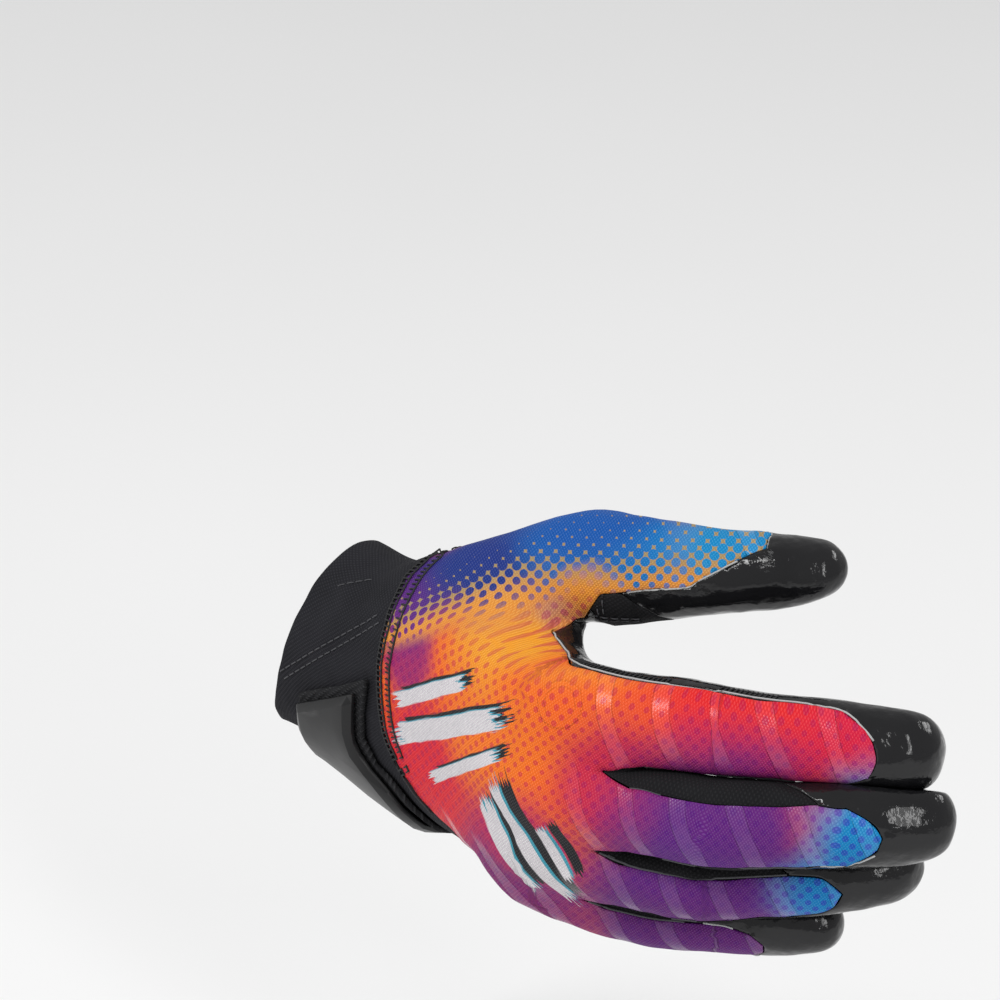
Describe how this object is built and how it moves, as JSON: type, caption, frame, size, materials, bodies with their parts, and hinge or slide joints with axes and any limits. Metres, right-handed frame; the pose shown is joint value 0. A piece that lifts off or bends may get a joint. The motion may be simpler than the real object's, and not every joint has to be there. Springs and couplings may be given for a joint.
{
  "type": "football receiver glove",
  "caption": "Right-hand receiver glove in its worn form: printed knit back, grip palm and fingertips, knit side strips, and a stretch cuff closed by a strap with a moulded tab.",
  "frame": {"origin": "middle of the cuff's open wrist end, where the hand goes in", "axes": "+X from the wrist to the fingertips, +Y to the palm side, +Z to the thumb side"},
  "size_m": [0.1961, 0.0999, 0.1018],
  "materials": {
    "print_knit": "matte stretch knit with a bright print",
    "grip": "glossy silicone-coated",
    "side_knit": "matte knit",
    "patch": "matte, padded",
    "cuff_knit": "matte ribbed knit",
    "loop_strap": "woven loop pile",
    "tab": "satin, ribbed"
  },
  "bodies": {
    "root": {"back_panel": "print_knit", "palm_panel": "grip", "fourchette_index_middle": "side_knit", "fourchette_middle_ring": "side_knit", "fourchette_ring_little": "side_knit", "thumb_patch": "patch", "cuff": "cuff_knit", "strap": "loop_strap", "strap_tab": "tab"}
  },
  "joints": []
}
